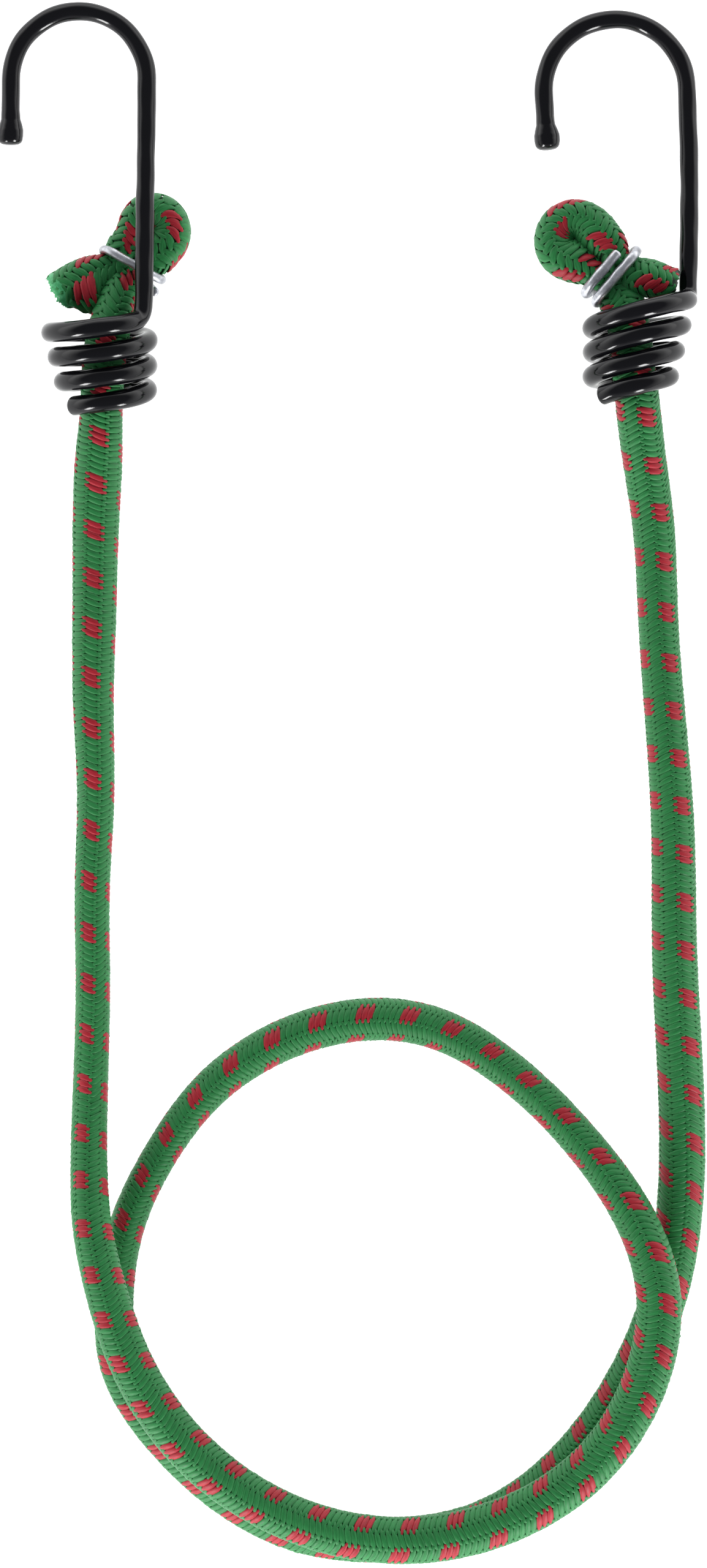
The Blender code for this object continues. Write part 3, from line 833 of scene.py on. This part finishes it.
def make_clip(side, zinc):
    """A clip, laid out with X across the two passes of cord and Y along them toward the bight."""
    clip = CLIPS[side]
    turned = Euler((0.0, 0.0, math.radians(clip["turned"]))).to_matrix()
    middle = (clip["from"] + clip["to"]) / 2
    path = []
    for degrees in np.arange(clip["from"], clip["to"] + 1.0, 5.0):
        angle = math.radians(degrees)
        straight = CLIP_HALF_STRAIGHT * math.tanh(CLIP_CORNERS * math.cos(angle))
        lead = (degrees - middle) / 360.0 + CLIP_BACK_SHARE * math.cos(angle) / TURN
        own = Vector((straight + CLIP_SIDE_RADIUS * math.cos(angle), -CLIP_PITCH * lead,
                      CLIP_SIDE_RADIUS * math.sin(angle)))
        path.append(Vector(clip["centre"]) * MM + turned @ own)
    path = evenly(path, CLIP_STEP, CLIP_EASING)
    random = np.random.default_rng(CLIP_SEED)
    dented = clip["fullness"] + dents(len(path), CLIP_SIDES, random, amount=0.025, slowest=0.1, fastest=0.5,
                                      waves=(1, 2, 2, 3))
    radii = CLIP_WIRE_RADIUS * dented
    radii[[0, -1]] *= CLIP_END_SHARE
    wire = round_sweep(f"{side}_clip_wire", path, radii, CLIP_SIDES)
    dress(wire, zinc, "clip_zinc", f"{side}_wire_clip")
    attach(wire, "cord")


def fibres(name, starts, headings, lengths, thickness, curl, seed):
    """A tuft of fine three-sided fibres in one mesh, each bent its own way."""
    random = np.random.default_rng(seed)
    share = np.linspace(0.0, 1.0, 6)
    angle = np.arange(3) * TURN / 3
    vertices, faces = [], []
    for start, heading, length in zip(starts, headings, lengths):
        heading = unit(np.asarray(heading))
        drift = random.normal(0.0, curl, 3)
        path = start + length * (share[:, None] * heading + (share ** 2)[:, None] * drift)
        ahead = unit(np.gradient(path, axis=0))
        side = unit(np.cross(ahead, random.normal(size=3)))
        other = np.cross(ahead, side)
        radius = thickness * (1 - 0.75 * share ** 2)
        out = (np.cos(angle)[None, :, None] * side[:, None, :]
               + np.sin(angle)[None, :, None] * other[:, None, :])
        rings = path[:, None, :] + radius[:, None, None] * out
        first = len(vertices)
        vertices += [tuple(vertex) for vertex in rings.reshape(-1, 3)]
        for i in range(len(share) - 1):
            for j in range(3):
                k = (j + 1) % 3
                corner = first + 3 * i
                faces.append((corner + j, corner + k, corner + 3 + k, corner + 3 + j))
        faces.append((first + 2, first + 1, first))
        faces.append(tuple(first + 3 * (len(share) - 1) + j for j in range(3)))
    mesh = bpy.data.meshes.new(name)
    mesh.from_pydata(vertices, [], faces)
    return placed(name, mesh)


def melted_rim(line, end):
    """The melted lip of a cut end: a thin ragged band that carries the sheath's rim a little further."""
    cut = CUT_ENDS[end]
    place, outward, inward = (0.0, -line.ahead[0], 1) if end == "left" else (line.length, line.ahead[-1], -1)
    random = np.random.default_rng(cut["rim_seed"])
    angle = np.arange(RIM_SIDES) * TURN / RIM_SIDES
    low = sum(random.uniform(0.3, 1.0) * np.cos(k * angle + random.uniform(0, TURN)) for k in (2, 3, 5))
    high = random.uniform(0.0, 1.0, RIM_SIDES)
    length = (0.35 + cut["rim_reach"] * np.maximum(np.cos(angle), 0.0)
              + 0.12 * low + cut["ragged"] * high ** 2).clip(0.15, 3.0) * MM
    rings = []
    for share, depth in RIM_RINGS:
        where = np.full(RIM_SIDES, place + inward * max(-share, 0.0) * MM)
        spot = line.surface(where, angle, depth * MM * (1 + 0.3 * low / 2))[0]
        rings.append(spot + outward * np.maximum(share, 0.0) * length[:, None])
    rings = np.array(rings)
    rings = rings if end == "right" else rings[:, ::-1]
    return grid_mesh(f"{end}_melted_rim", rings, RIM_SIDES, np.arange(len(rings)) * 0.5, capped=False)


def cut_fuzz(line, end, outward, place, random):
    """Short fibres that stand out of the cut."""
    angle = random.uniform(0, TURN, FUZZ_FIBRES)
    depth = (0.7 + 2.4 * random.uniform(0, 1, FUZZ_FIBRES) ** 1.5) * MM
    starts = line.surface(np.full(FUZZ_FIBRES, place), angle, depth)[0] - outward * 0.7 * MM
    headings = outward + 0.45 * random.normal(size=(FUZZ_FIBRES, 3))
    lengths = CUT_ENDS[end]["loose"] * random.uniform(0.5, 1.1, FUZZ_FIBRES) * MM
    return fibres(f"{end}_cut_fuzz", starts, headings, lengths, FUZZ_THICKNESS, 0.5, 51)


def cut_fringe(line, end, outward, place, random):
    """Loose fibres round the cut's edge, shorter on the side that a hook's wire passes."""
    angle = random.uniform(0, TURN, FRINGE_FIBRES)
    rim = np.full(FRINGE_FIBRES, place)
    starts = line.surface(rim, angle, np.full(FRINGE_FIBRES, 0.2 * MM))[0]
    out = line.surface(rim, angle, np.zeros(FRINGE_FIBRES))[1]
    onward = random.uniform(0.4, 1.2, (FRINGE_FIBRES, 1))
    headings = outward * onward + out * random.uniform(-0.6, 0.3, (FRINGE_FIBRES, 1))
    room = 1.0 - 0.85 * np.maximum(np.cos(angle - math.radians(SHANK_SIDE)), 0.0)
    lengths = CUT_ENDS[end]["loose"] * room * random.uniform(0.3, 1.1, FRINGE_FIBRES) * MM
    return fibres(f"{end}_cut_fringe", starts, headings, lengths, FRINGE_THICKNESS, 0.4, 52)


def make_cut_end(line, end):
    """Melted rim, fuzz inside the cut and loose fibres round it. Returns the pieces."""
    cut = CUT_ENDS[end]
    place, outward = (0.0, -line.ahead[0]) if end == "left" else (line.length, line.ahead[-1])
    random = np.random.default_rng(cut["seed"])
    rim = melted_rim(line, end)
    dress(rim, melt_material(*cut["melt"]), "braid")
    fuzz = cut_fuzz(line, end, outward, place, random)
    dress(fuzz, fibre_material(f"{end} fuzz", cut["fuzz"], 2.5), "braid")
    fringe = cut_fringe(line, end, outward, place, random)
    dress(fringe, fibre_material(f"{end} fringe", cut["fringe"], 1.6), "braid")
    for thing in (rim, fuzz, fringe):
        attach(thing, "cord")
    return [rim, fuzz, fringe]


def make_camera():
    data = bpy.data.cameras.new("camera")
    data.sensor_fit = "VERTICAL"
    data.sensor_height = SENSOR_HEIGHT
    data.lens = SENSOR_HEIGHT * CAMERA_HEIGHT / VIEW_HEIGHT
    data.clip_start = 0.01
    camera = bpy.data.objects.new("camera", data)
    camera.location = (*VIEW_CENTRE, CAMERA_HEIGHT)
    bpy.context.scene.collection.objects.link(camera)
    bpy.context.scene.camera = camera


def make_window(name, side):
    """A soft light low down toward -Y, on the left for a side of -1 and on the right for 1."""
    data = bpy.data.lights.new(name, "AREA")
    data.shape = "RECTANGLE"
    data.size, data.size_y = WINDOW_SIZE
    data.energy = WINDOW_POWER
    light = bpy.data.objects.new(name, data)
    place, target = (Vector((side * x, y, z)) for x, y, z in (WINDOW_PLACE, WINDOW_TARGET))
    light.location = place
    light.rotation_euler = (target - place).to_track_quat("-Z", "Y").to_euler()
    bpy.context.scene.collection.objects.link(light)


def make_floor():
    corners = ((-1, -1), (1, -1), (1, 1), (-1, 1))
    mesh = bpy.data.meshes.new("floor")
    mesh.from_pydata([(x * FLOOR_HALF_WIDTH, y * FLOOR_HALF_WIDTH, FLOOR_HEIGHT) for x, y in corners],
                     [], [(0, 1, 2, 3)])
    floor = bpy.data.objects.new("floor", mesh)
    bpy.context.scene.collection.objects.link(floor)
    pale, tree, shader = shader_of("pale floor", (0.8, 0.8, 0.8), 0.9)
    shader.inputs["Emission Color"].default_value = (1.0, 1.0, 1.0, 1.0)
    shader.inputs["Emission Strength"].default_value = FLOOR_GLOW
    mesh.materials.append(pale)


def make_sky():
    """White round the horizon, greyer toward -Y and dark overhead."""
    world = bpy.data.worlds.new("studio")
    world.use_nodes = True
    bpy.context.scene.world = world
    tree = world.node_tree
    background = tree.nodes["Background"]
    heading = tree.nodes.new("ShaderNodeSeparateXYZ")
    tree.links.new(tree.nodes.new("ShaderNodeTexCoord").outputs["Generated"], heading.inputs[0])
    overhead = ramp(tree, heading.outputs["Z"], 0.20, 0.65)
    away = ramp(tree, heading.outputs["Y"], -0.7, 0.4)
    around = mixed(tree, away, SKY_TOWARD_MINUS_Y, (1.0, 1.0, 1.0))
    tree.links.new(mixed(tree, overhead, around, SKY_OVERHEAD), background.inputs["Color"])
    background.inputs["Strength"].default_value = SKY_STRENGTH


make_camera()
line = Line()
make_cord(line)
make_strands(line)
plastic, steel, zinc = plastic_material(), steel_material(), zinc_material()
for side in ("left", "right"):
    make_hook(side, plastic, steel)
    make_clip(side, zinc)
make_floor()
make_sky()
make_window("left window", -1)
make_window("right window", 1)
bpy.context.scene.view_settings.view_transform = "Standard"
